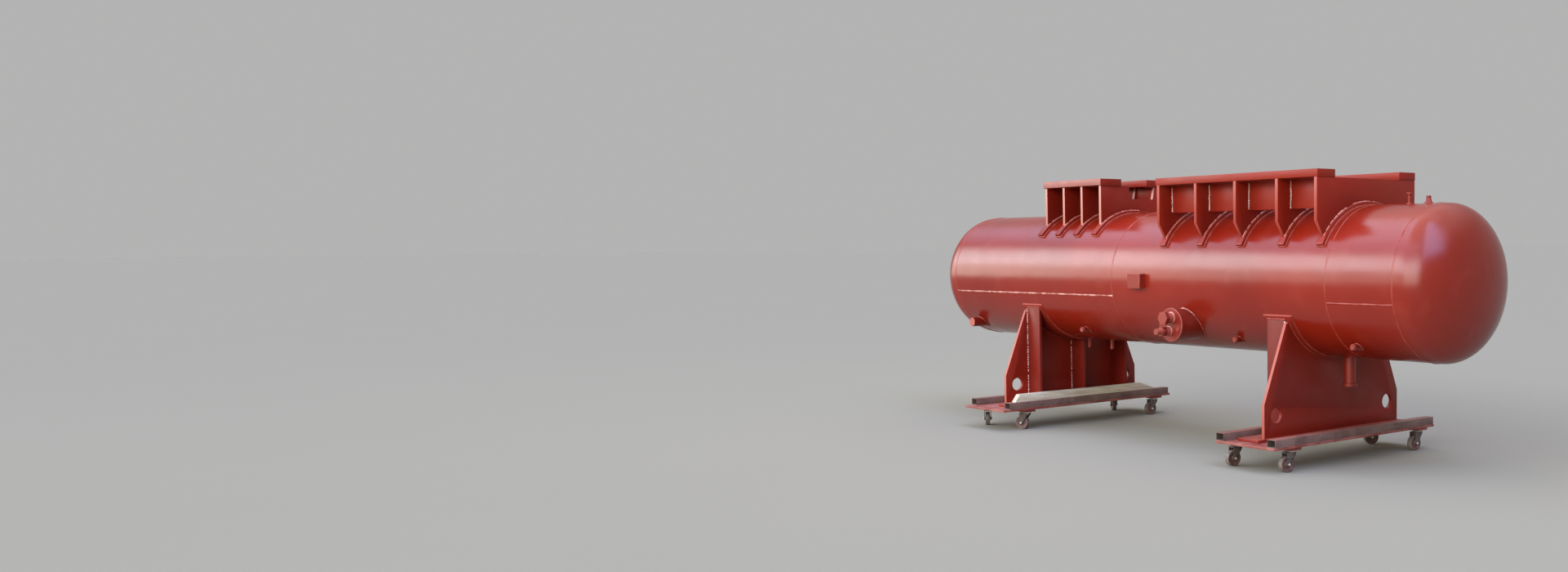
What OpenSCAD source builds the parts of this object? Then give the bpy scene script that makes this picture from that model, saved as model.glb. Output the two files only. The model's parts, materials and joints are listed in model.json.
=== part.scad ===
// Oil separator of a compressor package: a horizontal pressure vessel with the support
// frames of the compressor and its motor welded on top, standing on two workshop dollies.
// Millimetres. Origin on the floor under the middle of the vessel, +X along the vessel,
// -Y to the side with the heater and the side couplings, +Z up.

/* [Vessel] */
// outside diameter of the shell
shell_od = 994; // [960:2:1040]
// plate thickness of the shell and the heads
shell_wall = 12; // [8:1:20]
// middle of the vessel to the weld of each head
shell_half = 2350; // [2280:10:2500]
// girth seam between the left and the middle course
seam_left = -270; // [-450:10:0]
// girth seam between the middle and the right course
seam_right = 1820; // [1770:10:1880]
// straight flange of a head
head_flange = 45; // [25:5:90]
// depth of the dished part of a head
head_depth = 270; // [240:5:300]

/* [Support frames] */
// plate thickness of the four machine rails
rail_t = 50; // [40:1:60]
// plate thickness of the ribs under the rails
rib_t = 25; // [16:1:32]
// plate thickness of the webs between the ribs
web_t = 16; // [10:1:20]
// thickness of the curved pads on the shell
pad_t = 24; // [14:1:30]
// width of the curved pads along the vessel
pad_w = 60; // [45:1:80]

/* [Motor frame] */
// left end of the rails
motor_left = 225; // [180:5:260]
// length of the rails
motor_len = 1530; // [1480:5:1560]
// width over both rails
motor_width = 980; // [940:5:1040]
// width of each rail
motor_rail_w = 170; // [150:5:190]
// top of the shell to the underside of the rails
motor_rise = 173; // [140:1:200]
// left end of the rails to the middle of the first rib
motor_inset = 28; // [20:1:50]
// last rib's face to the right end of the rails
motor_end = 4; // [0:1:20]
// spacing of the first four ribs
motor_bay = 383; // [360:1:395]
// height of the upright edge of a rib
motor_edge = 271; // [230:1:300]
// where a rib's foot ends on the pad, in degrees from the top
motor_heel_deg = 55; // [50:0.5:58]
// rib foot to the end of the pad, in degrees
motor_lip_deg = 6.5; // [3:0.5:10]
// rail's outer edge to the face of the webs
motor_web_in = 123; // [90:1:140]
// height of the webs
motor_web_h = 192; // [150:1:220]

/* [Compressor frame] */
// left end of the rails
comp_left = -1306; // [-1340:2:-1270]
// length of the rails
comp_len = 725; // [700:1:760]
// width over both rails
comp_width = 670; // [640:2:700]
// width of each rail
comp_rail_w = 208; // [170:1:220]
// top of the shell to the underside of the rails
comp_rise = 211; // [180:1:230]
// ends of the rails to the middle of the end ribs
comp_inset = 24; // [18:1:40]
// rail's outer edge to the upright edge of a rib
comp_edge_in = 12; // [0:1:30]
// rib's edge to the end of the pad, in degrees
comp_lip_deg = 11; // [4:0.5:14]
// depth of the notch in the ribs and height of the webs
comp_notch_h = 99; // [70:1:120]
// middle of the frame to the front side of the notch
comp_notch_front = 40; // [20:1:80]
// middle of the frame to the rear side of the notch
comp_notch_rear = 220; // [190:1:230]
// notch to the rear webs
comp_web_in = 4; // [0:1:12]
// slope of the rear side of the notch
comp_notch_slope = 22; // [0:1:30]

/* [Saddles] */
// middle of the vessel to the outer face of a saddle's web
saddle_x = 1440; // [1438:1:1470]
// how far both saddles sit to the right
saddle_shift = 26; // [16:1:28]
// deck to the axis of the vessel
saddle_rise = 1015; // [980:1:1060]
// plate thickness of the web
saddle_web_t = 25; // [18:1:32]
// width of the web at the base
saddle_width = 1344; // [1280:4:1380]
// base plate to the shoulder of the web
saddle_side = 220; // [190:1:250]
// half the angle that the web holds, in degrees
saddle_deg = 60.5; // [56:0.5:62]
// thickness of the shell over the web's top corners
saddle_corner = 28; // [16:1:40]
// plate thickness of the saddle ribs
saddle_rib_t = 24; // [16:1:30]
// depth of the ribs along the vessel
saddle_rib_d = 160; // [140:1:162]
// middle to the outer ribs
saddle_rib_y = 440; // [400:2:460]
// thickness of the wear plate
wear_t = 12; // [8:1:16]
// width of the wear plate along the vessel
wear_w = 250; // [230:2:280]
// half the angle that the wear plate covers, in degrees
wear_deg = 65; // [63:0.5:70]
// thickness of the base plate
base_t = 20; // [14:1:26]
// width of the base plate along the vessel
base_w = 186; // [180:1:192]
// length of the base plate across the vessel
base_l = 1460; // [1420:5:1500]
// diameter of the lifting holes
lift_d = 100; // [70:1:110]
// edge of the web to the middle of a lifting hole
lift_in = 112; // [90:1:125]
// base plate to the middle of a lifting hole
lift_up = 146; // [110:1:160]

/* [Dollies] */
// middle of the vessel to the middle of a dolly
dolly_x = 1420; // [1410:1:1422]
// width of the deck along the vessel
deck_w = 530; // [526:2:560]
// length of the right deck across the vessel
deck_l = 1620; // [1580:5:1680]
// length of the left deck across the vessel
left_deck_l = 1730; // [1700:5:1760]
// thickness of the deck
deck_t = 18; // [10:1:24]
// width of the deck's edge tubes
tube_w = 70; // [60:1:72]
// height of the edge tubes
tube_h = 50; // [40:1:60]
// wall of the edge tubes
tube_wall = 4; // [3:0.5:6]
// right deck's end to the end of its tubes
tube_in = 8; // [0:1:20]
// length of the tubes on the left deck
left_tube_l = 1650; // [1620:5:1680]
// how far the tubes on the left deck sit to the rear
left_tube_back = 22; // [0:1:40]

/* [Timber] */
// thickness of the timber batten
timber_t = 50; // [40:1:56]
// height of the timber batten
timber_h = 60; // [45:1:70]
// front end of the batten at its foot
timber_front = 745; // [700:5:780]
// how far the front end leans back
timber_lean = 45; // [0:1:60]
// rear end of the batten at its foot
timber_rear = 720; // [690:5:760]
// how far the rear end leans back
timber_cut = 173; // [0:1:200]
// tube's outer face to the batten
timber_in = 10; // [0:1:14]

/* [Casters] */
// floor to the underside of the deck
caster_h = 158; // [150:1:180]
// diameter of the wheels
wheel_d = 105; // [90:1:110]
// width of the tread
wheel_w = 36; // [28:1:40]
// height of the tread over the wheel's dished sides
tread_t = 13; // [8:1:16]
// depth of the dished sides
dish_t = 4; // [1:1:8]
// width over the hub
hub_w = 44; // [42:1:46]
// diameter of the hub
hub_d = 34; // [28:1:40]
// swivel axis to the axle
trail = 40; // [30:1:48]
// diameter of the axle
axle_d = 12; // [10:1:14]
// diameter of the king pin
king_d = 20; // [16:1:24]
// clearance at the axle and the king pin
pin_gap = 0.3; // [0.2:0.1:0.5]
// length of the top plate across the dolly
plate_l = 105; // [95:1:120]
// width of the top plate along the vessel
plate_w = 86; // [80:1:100]
// thickness of the top plate with its packing
plate_t = 18; // [10:1:22]
// diameter of the swivel race
race_d = 66; // [58:1:76]
// height of the swivel race
race_h = 9; // [6:1:12]
// thickness of the fork's crown
crown_t = 8; // [5:1:10]
// length of the fork's crown past the axle
crown_over = 14; // [10:1:20]
// radius of the legs round the axle
leg_end_r = 13; // [11:1:16]
// how far the axle stands out of the legs
axle_over = 4; // [2:1:8]
// height of the king pin's head
king_head = 6; // [4:1:8]
// how much wider the king pin's head is
king_lip = 5; // [3:1:8]
// thickness of the fork's legs
leg_t = 5; // [4:0.5:7]
// deck's long edge to the swivel axis
caster_in = 55; // [50:1:80]
// deck's end to the swivel axis
caster_end = 170; // [140:5:220]

/* [Fittings] */
// outside diameter of the heater nozzle
heater_od = 219; // [190:1:240]
// wall of the heater nozzle
heater_wall = 8; // [6:1:12]
// place of the heater along the vessel
heater_x = 475; // [430:5:520]
// axis of the vessel down to the axis of the heater
heater_drop = 301; // [270:1:330]
// shell's side to the inner face of the heater's cover
heater_out = 63; // [30:1:80]
// overlap of the cover round the nozzle
cover_lip = 8; // [4:1:14]
// thickness of the cover
cover_t = 22; // [16:1:28]
// diameter of the upper heater socket
socket_upper = 72; // [60:1:76]
// length of the upper heater socket
upper_l = 50; // [40:1:60]
// upper hexagon plug over its corners
upper_hex = 97; // [80:1:100]
// length of the upper hexagon plug
upper_hex_l = 32; // [20:1:40]
// diameter of the lower heater socket
socket_lower = 60; // [54:1:64]
// length of the lower heater socket
lower_l = 40; // [30:1:50]
// lower hexagon plug over its corners
lower_hex = 70; // [60:1:74]
// length of the lower hexagon plug
lower_hex_l = 40; // [30:1:50]
// diameter of the tip on the lower plug
tip_d = 42; // [34:1:50]
// length of the tip on the lower plug
tip_l = 43; // [30:1:50]
// middle of the cover to the upper socket, to the right
upper_right = 6; // [0:1:20]
// middle of the cover to the upper socket, upwards
upper_up = 49; // [46:1:60]
// middle of the cover to the lower socket, to the left
lower_left = 16; // [6:1:40]
// middle of the cover to the lower socket, downwards
lower_down = 44; // [38:1:50]
// middle of the cover to the small boss, to the right
boss_right = 77; // [60:1:84]
// middle of the cover to the small boss, downwards
boss_down = 31; // [20:1:45]
// diameter of the small boss on the cover
boss_d = 30; // [24:1:36]
// length of the small boss
boss_l = 8; // [4:1:20]
// places of the side couplings along the vessel
side_x = [-800, 885, 1935]; // [-1100:5:2200]
// diameter of the side couplings
side_od = 44; // [36:1:54]
// axis of the vessel down to the side couplings
side_drop = 397; // [370:1:410]
// how far the side couplings stand out
side_out = 58; // [40:1:80]
// diameter of the oil nozzle at the left end
oil_od = 76; // [60:1:90]
// place of the oil nozzle along the vessel
oil_x = -2215; // [-2240:5:-2150]
// axis of the vessel down to the oil nozzle
oil_drop = 386; // [360:2:400]
// how far the oil nozzle stands out
oil_out = 119; // [90:1:140]
// diameter of the drain pipe
drain_od = 76; // [60:1:90]
// wall of the drain pipe
drain_wall = 6; // [4:1:8]
// place of the drain along the vessel
drain_x = 1606; // [1570:2:1650]
// shell down to the end of the drain
drain_l = 196; // [150:1:240]
// diameter of the ring at the drain's end
drain_ring = 94; // [86:1:110]
// height of the ring
drain_ring_h = 22; // [12:1:30]
// places of the small couplings under the shell, along the vessel
under_x = [-1160, -874]; // [-1190:2:-600]
// diameter of the small couplings under the shell
under_od = 28; // [20:1:36]
// length of the small couplings under the shell
under_l = 76; // [50:1:90]
// diameter of the capped vent
vent_od = 26; // [20:1:34]
// diameter of the vent's cap
vent_cap = 41; // [36:1:50]
// height of the vent's cap
vent_cap_h = 14; // [8:1:20]
// height of the capped vent over the shell
vent_l = 71; // [50:1:90]
// place of the capped vent along the vessel
vent_x = 2091; // [2000:5:2140]
// diameter of the plain vent
plain_od = 30; // [22:1:38]
// height of the plain vent over the shell
plain_l = 47; // [30:1:60]
// from the capped vent to the plain vent
vent_gap = 150; // [100:5:180]
// width of the nameplate bracket
tag_w = 135; // [110:1:160]
// height of the nameplate bracket
tag_h = 105; // [80:1:120]
// stand-off of the nameplate bracket
tag_out = 49; // [30:1:60]
// sheet thickness of the nameplate bracket
tag_t = 4; // [3:0.5:6]
// axis of the vessel down to the middle of the nameplate bracket
tag_drop = 4; // [0:1:30]
// place of the nameplate bracket along the vessel
tag_x = 38; // [0:1:60]

/* [Hidden] */
$fn = 240;
shell_r = shell_od / 2;
pad_r = shell_r + pad_t;
wear_r = shell_r + wear_t;
deck_z = caster_h + deck_t;
tube_z = deck_z + tube_h;
base_z = deck_z + base_t;
axis_z = deck_z + saddle_rise;
tangent = shell_half + head_flange;
// motor frame
motor_y = motor_width / 2;
motor_z = shell_r + motor_rise;
motor_ribs_x = [for (i = [0 : 3]) motor_left + motor_inset + i * motor_bay,
    motor_left + motor_len - rib_t / 2 - motor_end];
motor_heel_y = pad_r * sin(motor_heel_deg);
motor_heel_z = pad_r * cos(motor_heel_deg);
// compressor frame
comp_y = comp_width / 2;
comp_z = shell_r + comp_rise;
comp_edge = comp_y - comp_edge_in;
comp_bay = (comp_len - 2 * comp_inset) / 3;
comp_ribs_x = [for (i = [0 : 3]) comp_left + comp_inset + i * comp_bay];
comp_heel_deg = asin(comp_edge / pad_r);
// heater
heater_z = axis_z - heater_drop;
heater_y = -(shell_r + heater_out);
cover_y = heater_y - cover_t;
socket_up = [heater_x + upper_right, heater_z + upper_up];
socket_low = [heater_x - lower_left, heater_z - lower_down];
boss_at = [heater_x + boss_right, heater_z - boss_down];
// casters: the swivel axes, the way each fork trails, and how far each sits to the rear of its even place
caster_dx = deck_w / 2 - caster_in;
caster_dy = deck_l / 2 - caster_end;
wheel_z = wheel_d / 2;
crown_top = caster_h - plate_t - race_h - pin_gap;
crown_z = crown_top - crown_t;
leg_y = hub_w / 2 + pin_gap;
caster_yaw_deg = [-97, -96, -92, 64, -156, 146, -91, 152];
caster_back = [42, -20, 58, 0, 36, -50, 90, 0];
red = [0.55, 0.17, 0.12];
tube_grey = [0.42, 0.36, 0.32];
zinc = [0.62, 0.62, 0.60];
dark = [0.24, 0.22, 0.21];
tan_wood = [0.78, 0.68, 0.52];
wheel_brown = [0.36, 0.24, 0.18];

// a flat shape in the vessel's cross-section, from x0 over the thickness t
module across(x0, t) {
    translate([x0, 0, axis_z]) rotate([90, 0, 90]) linear_extrude(t) children();
}

// a round bar along the vessel's axis
module bar(r, x0, x1) {
    translate([x0, 0, axis_z]) rotate([0, 90, 0]) cylinder(h = x1 - x0, r = r);
}

// the vessel's outside, to seat pieces on
module shell_cut(r = shell_r) {
    bar(r, -shell_half, shell_half);
}

// a round piece that stands out to the front, from y0 back to y1
module forward(x, z, y0, y1, d, sides = 240) {
    translate([x, y1, z]) rotate([90, 0, 0]) cylinder(h = y1 - y0, d = d, $fn = sides);
}

// a band of the ring between r0 and r1, half degrees to each side of the direction up or down
module band(r0, r1, half, up) {
    s = up ? 1 : -1;
    far = 2 * r1;
    intersection() {
        difference() {
            circle(r1);
            circle(r0);
        }
        polygon([[0, 0], [-far * sin(half), s * far * cos(half)],
            [-far * sin(half), s * far], [far * sin(half), s * far],
            [far * sin(half), s * far * cos(half)]]);
    }
}

module course(x0, x1) {
    difference() {
        bar(shell_r, x0, x1);
        bar(shell_r - shell_wall, x0 - 1, x1 + 1);
    }
}

// half of a head's outline: the straight flange below, half an ellipse above
module dish(r, depth, foot) {
    polygon(concat([[0, -foot], [r, -foot]], [for (a = [0 : 3 : 87]) [r * cos(a), depth * sin(a)]],
        [[0, depth]]));
}

module head_section() {
    difference() {
        dish(shell_r, head_depth, head_flange);
        dish(shell_r - shell_wall, head_depth - shell_wall, head_flange + 1);
    }
}

module head(side) {
    translate([side * tangent, 0, axis_z]) rotate([0, side * 90, 0]) rotate_extrude() head_section();
}

module rail(x0, len, y0, w, z) {
    translate([x0, y0, axis_z + z]) cube([len, w, rail_t]);
}

module motor_rib_shape() {
    low = motor_z - motor_edge;
    // the slanted edge runs on below the pad's surface, and the pad trims it
    in_y = motor_heel_y - 0.3 * (motor_y - motor_heel_y);
    in_z = motor_heel_z - 0.3 * (low - motor_heel_z);
    difference() {
        polygon([[-motor_y, motor_z], [motor_y, motor_z], [motor_y, low], [in_y, in_z], [0, 0],
            [-in_y, in_z], [-motor_y, low]]);
        circle(pad_r);
    }
}

module comp_rib_shape() {
    low = pad_r * cos(comp_heel_deg) - 2 * pad_t;
    difference() {
        polygon([[-comp_edge, comp_z], [comp_edge, comp_z], [comp_edge, low], [0, 0],
            [-comp_edge, low]]);
        circle(pad_r);
        polygon([[-comp_notch_front, comp_z + 1], [-comp_notch_front, comp_z - comp_notch_h],
            [comp_notch_rear - comp_notch_slope, comp_z - comp_notch_h],
            [comp_notch_rear, comp_z], [comp_notch_rear, comp_z + 1]]);
    }
}

// plates between neighbouring ribs, their face at y0 and their top at z1
module webs(ribs, y0, z1, h) {
    for (i = [0 : len(ribs) - 2])
        translate([ribs[i] + rib_t / 2, y0, axis_z + z1 - h])
            cube([ribs[i + 1] - ribs[i] - rib_t, web_t, h]);
}

module saddle_web(side) {
    h = axis_z - base_z;
    r = wear_r + saddle_corner;
    x0 = saddle_shift + (side > 0 ? saddle_x - saddle_web_t : -saddle_x);
    across(x0, saddle_web_t) difference() {
        polygon([[-saddle_width / 2, -h], [saddle_width / 2, -h],
            [saddle_width / 2, saddle_side - h],
            [r * sin(saddle_deg), -r * cos(saddle_deg)], [0, 0],
            [-r * sin(saddle_deg), -r * cos(saddle_deg)],
            [-saddle_width / 2, saddle_side - h]]);
        circle(wear_r);
        for (s = [-1, 1]) translate([s * (saddle_width / 2 - lift_in), lift_up - h])
            circle(d = lift_d);
    }
}

module saddle_ribs(side) {
    x0 = saddle_shift + (side > 0 ? saddle_x - saddle_web_t - saddle_rib_d : -saddle_x + saddle_web_t);
    difference() {
        for (y = [-saddle_rib_y, 0, saddle_rib_y])
            translate([x0, y - saddle_rib_t / 2, base_z])
                cube([saddle_rib_d, saddle_rib_t, axis_z - base_z]);
        shell_cut(wear_r);
    }
}

module wear_plate(side) {
    mid = saddle_shift + side * (saddle_x - (saddle_web_t + saddle_rib_d) / 2);
    across(mid - wear_w / 2, wear_w) band(shell_r, wear_r, wear_deg, false);
}

module base_plate(side) {
    mid = saddle_shift + side * (saddle_x - (saddle_web_t + saddle_rib_d) / 2);
    translate([mid - base_w / 2, -base_l / 2, deck_z]) cube([base_w, base_l, base_t]);
}

module deck(side) {
    l = side > 0 ? deck_l : left_deck_l;
    translate([side * dolly_x - deck_w / 2, -l / 2, caster_h]) cube([deck_w, l, deck_t]);
}

module tubes(side) {
    l = side > 0 ? deck_l - 2 * tube_in : left_tube_l;
    y0 = (side > 0 ? 0 : left_tube_back) - l / 2;
    for (x = [-deck_w / 2, deck_w / 2 - tube_w])
        translate([side * dolly_x + x, y0, deck_z]) difference() {
            cube([tube_w, l, tube_h]);
            translate([tube_wall, -1, tube_wall])
                cube([tube_w - 2 * tube_wall, l + 2, tube_h - 2 * tube_wall]);
        }
}

// swivel axes: 1 to 4 under the right dolly, 5 to 8 under the left one
function caster_at(i) = [(i < 4 ? 1 : -1) * dolly_x + (i % 2 == 0 ? 1 : -1) * caster_dx,
    (i % 4 < 2 ? -1 : 1) * caster_dy + caster_back[i]];

// top plate, swivel race and king pin with its head
module caster_plate(i) {
    translate(concat(caster_at(i), [0])) {
        translate([-plate_w / 2, -plate_l / 2, caster_h - plate_t]) cube([plate_w, plate_l, plate_t]);
        translate([0, 0, caster_h - plate_t - race_h]) cylinder(h = race_h, d = race_d);
        translate([0, 0, crown_z - pin_gap]) cylinder(h = crown_t + race_h, d = king_d);
        translate([0, 0, crown_z - pin_gap - king_head])
            cylinder(h = king_head, d = king_d + 2 * king_lip);
    }
}

module caster_plates(side) {
    for (i = side > 0 ? [0 : 3] : [4 : 7]) caster_plate(i);
}

// crown round the king pin, two legs and the axle between them
module fork(i) {
    w = leg_y + leg_t;
    back = race_d / 2;
    translate(concat(caster_at(i), [0])) rotate([0, 0, caster_yaw_deg[i]]) {
        difference() {
            union() {
                translate([0, 0, crown_z]) cylinder(h = crown_t, d = race_d);
                translate([0, -w, crown_z]) cube([trail + crown_over, 2 * w, crown_t]);
            }
            translate([0, 0, crown_z - 1]) cylinder(h = crown_t + 2, d = king_d + 2 * pin_gap);
        }
        for (s = [-1, 1]) translate([0, s > 0 ? w : -leg_y, 0]) rotate([90, 0, 0])
            linear_extrude(leg_t) union() {
                polygon([[-back / 2, crown_z + crown_t], [trail + crown_over, crown_z + crown_t],
                    [trail + crown_over, crown_z - crown_over], [trail + leg_end_r, wheel_z],
                    [trail - leg_end_r, wheel_z], [-back / 2, crown_z - crown_t]]);
                translate([trail, wheel_z]) circle(leg_end_r);
            }
        translate([trail, w + axle_over, wheel_z]) rotate([90, 0, 0])
            cylinder(h = 2 * (w + axle_over), d = axle_d);
    }
}

module wheel(i) {
    translate(concat(caster_at(i), [0])) rotate([0, 0, caster_yaw_deg[i]])
        translate([trail, 0, wheel_z]) rotate([90, 0, 0]) difference() {
            union() {
                translate([0, 0, -wheel_w / 2]) cylinder(h = wheel_w, d = wheel_d);
                translate([0, 0, -hub_w / 2]) cylinder(h = hub_w, d = hub_d);
            }
            translate([0, 0, -hub_w]) cylinder(h = 2 * hub_w, d = axle_d + 2 * pin_gap);
            // dished sides between the hub and the tread
            for (s = [-1, 1]) translate([0, 0, s * wheel_w / 2]) difference() {
                cylinder(h = 2 * dish_t, d = wheel_d - 2 * tread_t, center = true);
                cylinder(h = 4 * dish_t, d = hub_d, center = true);
            }
        }
}

module shell_left() color(red) course(-shell_half, seam_left);
module shell_middle() color(red) difference() {
    course(seam_left, seam_right);
    translate([drain_x, 0, axis_z - shell_r - 1]) cylinder(h = shell_r, d = drain_od - 2 * drain_wall);
}
module shell_right() color(red) course(seam_right, shell_half);
module head_left() color(red) head(-1);
module head_right() color(red) head(1);

module motor_front_rail() color(red) rail(motor_left, motor_len, -motor_y, motor_rail_w, motor_z);
module motor_rear_rail() color(red)
    rail(motor_left, motor_len, motor_y - motor_rail_w, motor_rail_w, motor_z);
module motor_ribs() color(red) for (x = motor_ribs_x) across(x - rib_t / 2, rib_t) motor_rib_shape();
module motor_front_webs() color(red)
    webs(motor_ribs_x, -motor_y + motor_web_in, motor_z, motor_web_h);
module motor_rear_webs() color(red)
    webs(motor_ribs_x, motor_y - motor_web_in - web_t, motor_z, motor_web_h);
module motor_pads() color(red)
    for (x = motor_ribs_x) across(x - pad_w / 2, pad_w)
        band(shell_r, pad_r, motor_heel_deg + motor_lip_deg, true);

module compressor_front_rail() color(red) rail(comp_left, comp_len, -comp_y, comp_rail_w, comp_z);
module compressor_rear_rail() color(red)
    rail(comp_left, comp_len, comp_y - comp_rail_w, comp_rail_w, comp_z);
module compressor_ribs() color(red) for (x = comp_ribs_x) across(x - rib_t / 2, rib_t) comp_rib_shape();
module compressor_webs() color(red) {
    webs(comp_ribs_x, -comp_y + comp_rail_w - web_t, comp_z, comp_notch_h);
    webs(comp_ribs_x, comp_notch_rear + comp_web_in, comp_z, comp_notch_h);
}
module compressor_pads() color(red)
    for (x = comp_ribs_x) across(x - pad_w / 2, pad_w)
        band(shell_r, pad_r, comp_heel_deg + comp_lip_deg, true);

module left_saddle_web() color(red) saddle_web(-1);
module left_saddle_ribs() color(red) saddle_ribs(-1);
module left_wear_plate() color(red) wear_plate(-1);
module left_base_plate() color(red) base_plate(-1);
module right_saddle_web() color(red) saddle_web(1);
module right_saddle_ribs() color(red) saddle_ribs(1);
module right_wear_plate() color(red) wear_plate(1);
module right_base_plate() color(red) base_plate(1);

module left_deck() color(tube_grey) deck(-1);
module left_tubes() color(tube_grey) tubes(-1);
module left_caster_plates() color(zinc) caster_plates(-1);
module right_deck() color(tube_grey) deck(1);
module right_tubes() color(tube_grey) tubes(1);
module right_caster_plates() color(zinc) caster_plates(1);

// packing timber on the inner tube of the left dolly, its rear end cut on the slant
module timber_batten() color(tan_wood)
    translate([-dolly_x + deck_w / 2 - timber_in - timber_t, 0, tube_z]) rotate([90, 0, 90])
        linear_extrude(timber_t) polygon([[-timber_front, 0], [timber_rear, 0],
            [timber_rear - timber_cut, timber_h], [timber_lean - timber_front, timber_h]]);

module heater_nozzle() color(red) difference() {
    forward(heater_x, heater_z, heater_y, 0, heater_od);
    forward(heater_x, heater_z, heater_y - 1, 1, heater_od - 2 * heater_wall);
    shell_cut();
}
module heater_cover() color(red)
    forward(heater_x, heater_z, cover_y, heater_y, heater_od + 2 * cover_lip);
// two sockets with hexagon plugs, the lower one with a tip, and a small boss
module heater_plugs() color(red) {
    upper_y = cover_y - upper_l;
    lower_y = cover_y - lower_l;
    tip_y = lower_y - lower_hex_l;
    forward(socket_up[0], socket_up[1], upper_y, cover_y, socket_upper);
    forward(socket_up[0], socket_up[1], upper_y - upper_hex_l, upper_y, upper_hex, 6);
    forward(socket_low[0], socket_low[1], lower_y, cover_y, socket_lower);
    forward(socket_low[0], socket_low[1], tip_y, lower_y, lower_hex, 6);
    forward(socket_low[0], socket_low[1], tip_y - tip_l, tip_y, tip_d);
    forward(boss_at[0], boss_at[1], cover_y - boss_l, cover_y, boss_d);
}

module side_couplings() color(red) {
    seat = sqrt(shell_r * shell_r - side_drop * side_drop);
    difference() {
        for (x = side_x) forward(x, axis_z - side_drop, -seat - side_out, 0, side_od);
        shell_cut();
    }
}

module oil_nozzle() color(red) {
    seat = sqrt(shell_r * shell_r - oil_drop * oil_drop);
    difference() {
        forward(oil_x, axis_z - oil_drop, -seat - oil_out, 0, oil_od);
        shell_cut();
    }
}

module drain_nozzle() color(red) difference() {
    translate([drain_x, 0, axis_z - shell_r - drain_l]) {
        cylinder(h = drain_l + drain_od, d = drain_od);
        cylinder(h = drain_ring_h, d = drain_ring);
    }
    translate([drain_x, 0, axis_z - shell_r - drain_l - 1])
        cylinder(h = drain_l + 2 * drain_od, d = drain_od - 2 * drain_wall);
    shell_cut();
}

module under_couplings() color(red) difference() {
    for (x = under_x) translate([x, 0, axis_z - shell_r - under_l])
        cylinder(h = under_l + under_od, d = under_od);
    shell_cut();
}

module top_vents() color(red) difference() {
    union() {
        translate([vent_x, 0, axis_z + shell_r - vent_od]) cylinder(h = vent_l + vent_od, d = vent_od);
        translate([vent_x, 0, axis_z + shell_r + vent_l - vent_cap_h])
            cylinder(h = vent_cap_h, d = vent_cap);
        translate([vent_x + vent_gap, 0, axis_z + shell_r - plain_od])
            cylinder(h = plain_l + plain_od, d = plain_od);
    }
    shell_cut();
}

// folded sheet that will carry the nameplate: a face and two side legs down to the shell
module nameplate_bracket() color(red) difference() {
    translate([tag_x - tag_w / 2, -shell_r - tag_out, axis_z - tag_h / 2 - tag_drop])
        cube([tag_w, tag_out + shell_r, tag_h]);
    translate([tag_x - tag_w / 2 + tag_t, -shell_r - tag_out + tag_t, axis_z - tag_h])
        cube([tag_w - 2 * tag_t, tag_out + shell_r, 2 * tag_h]);
    shell_cut();
}

module fork_1() color(dark) fork(0);
module fork_2() color(dark) fork(1);
module fork_3() color(dark) fork(2);
module fork_4() color(dark) fork(3);
module fork_5() color(dark) fork(4);
module fork_6() color(dark) fork(5);
module fork_7() color(dark) fork(6);
module fork_8() color(dark) fork(7);
module wheel_1() color(wheel_brown) wheel(0);
module wheel_2() color(wheel_brown) wheel(1);
module wheel_3() color(wheel_brown) wheel(2);
module wheel_4() color(wheel_brown) wheel(3);
module wheel_5() color(wheel_brown) wheel(4);
module wheel_6() color(wheel_brown) wheel(5);
module wheel_7() color(wheel_brown) wheel(6);
module wheel_8() color(wheel_brown) wheel(7);

shell_left();
shell_middle();
shell_right();
head_left();
head_right();
motor_front_rail();
motor_rear_rail();
motor_ribs();
motor_front_webs();
motor_rear_webs();
motor_pads();
compressor_front_rail();
compressor_rear_rail();
compressor_ribs();
compressor_webs();
compressor_pads();
left_saddle_web();
left_saddle_ribs();
left_wear_plate();
left_base_plate();
right_saddle_web();
right_saddle_ribs();
right_wear_plate();
right_base_plate();
left_deck();
left_tubes();
left_caster_plates();
right_deck();
right_tubes();
right_caster_plates();
timber_batten();
heater_nozzle();
heater_cover();
heater_plugs();
side_couplings();
oil_nozzle();
drain_nozzle();
under_couplings();
top_vents();
nameplate_bracket();
fork_1();
fork_2();
fork_3();
fork_4();
fork_5();
fork_6();
fork_7();
fork_8();
wheel_1();
wheel_2();
wheel_3();
wheel_4();
wheel_5();
wheel_6();
wheel_7();
wheel_8();
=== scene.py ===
"""Oil separator on two dollies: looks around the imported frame."""

import json
import math

import bpy
from mathutils import Euler, Matrix, Vector


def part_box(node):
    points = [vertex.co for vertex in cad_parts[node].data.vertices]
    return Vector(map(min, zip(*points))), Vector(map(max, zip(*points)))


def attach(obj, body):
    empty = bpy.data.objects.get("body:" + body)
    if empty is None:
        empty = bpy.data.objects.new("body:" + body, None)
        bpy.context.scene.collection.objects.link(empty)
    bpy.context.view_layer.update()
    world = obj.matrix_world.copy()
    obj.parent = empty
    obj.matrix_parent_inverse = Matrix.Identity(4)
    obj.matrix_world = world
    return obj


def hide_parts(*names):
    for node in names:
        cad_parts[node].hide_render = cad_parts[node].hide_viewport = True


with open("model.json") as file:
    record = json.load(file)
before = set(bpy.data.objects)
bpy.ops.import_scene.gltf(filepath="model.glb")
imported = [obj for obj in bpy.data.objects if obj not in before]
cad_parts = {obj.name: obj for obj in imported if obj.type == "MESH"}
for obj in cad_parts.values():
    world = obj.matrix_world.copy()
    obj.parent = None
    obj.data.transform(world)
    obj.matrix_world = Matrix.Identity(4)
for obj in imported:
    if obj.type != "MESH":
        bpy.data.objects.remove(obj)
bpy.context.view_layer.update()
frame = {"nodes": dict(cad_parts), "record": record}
VESSEL = "vessel"

SHARP_EDGE = math.radians(40)
SMOOTH_EDGE = math.radians(38)
NEAR = 1e-4
ON_RADIUS = 6e-4


# small helpers

def deselect():
    bpy.ops.object.select_all(action="DESELECT")


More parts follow.
